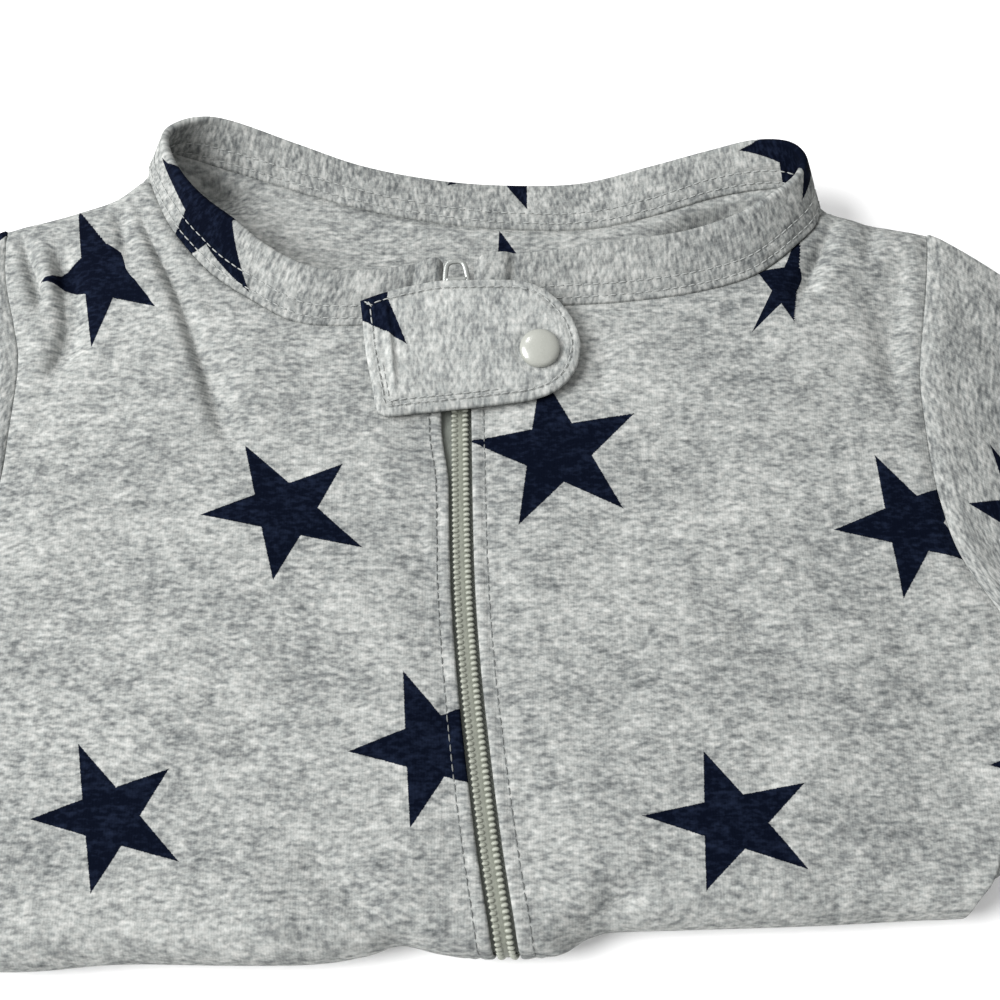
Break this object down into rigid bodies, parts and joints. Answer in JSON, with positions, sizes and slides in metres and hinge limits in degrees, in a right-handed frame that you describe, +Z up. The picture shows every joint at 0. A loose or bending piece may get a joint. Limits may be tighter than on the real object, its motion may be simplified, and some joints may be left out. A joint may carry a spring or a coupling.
{
  "type": "footed baby sleepsuit",
  "caption": "Footed baby sleepsuit in star-printed jersey, lying face up with its legs folded under, with a zip front, a neckband, and a chin tab closed by a snap.",
  "frame": {"origin": "on the surface it lies on, under the middle of the whole garment", "axes": "+X to the garment's right-hand side of the view, cuff to cuff; +Y from the fold towards the neck; +Z up off the surface"},
  "size_m": [0.5676, 0.2038, 0.0254],
  "materials": {
    "star_jersey": "marled cotton jersey, grey with printed navy stars",
    "band_jersey": "marled cotton jersey, grey with printed navy stars",
    "zip_tape": "woven tape, dark grey",
    "zip_nylon": "nylon coil, grey, slight sheen",
    "metal": "plated, satin",
    "snap_enamel": "pearl grey enamel, glossy"
  },
  "bodies": {
    "garment": {"front_left": "star_jersey", "front_right": "star_jersey", "back": "star_jersey", "sleeve_left": "star_jersey", "sleeve_right": "star_jersey", "neckband": "band_jersey", "chin_tab": "star_jersey", "folded_layers": "star_jersey", "zip_tape_left": "zip_tape", "zip_tape_right": "zip_tape", "zip_coil": "zip_nylon", "zip_slider": "metal", "snap_cap": "snap_enamel", "snap_socket": "metal", "snap_stud": "metal"},
    "pull": {"zip_pull": "metal"}
  },
  "joints": [
    {"name": "pull_swing", "type": "hinge", "parent": "garment", "child": "pull", "pos_m": [-0.0045, 0.05035, 0.018], "axis": [1, 0, 0], "range_deg": [0, 8]}
  ]
}
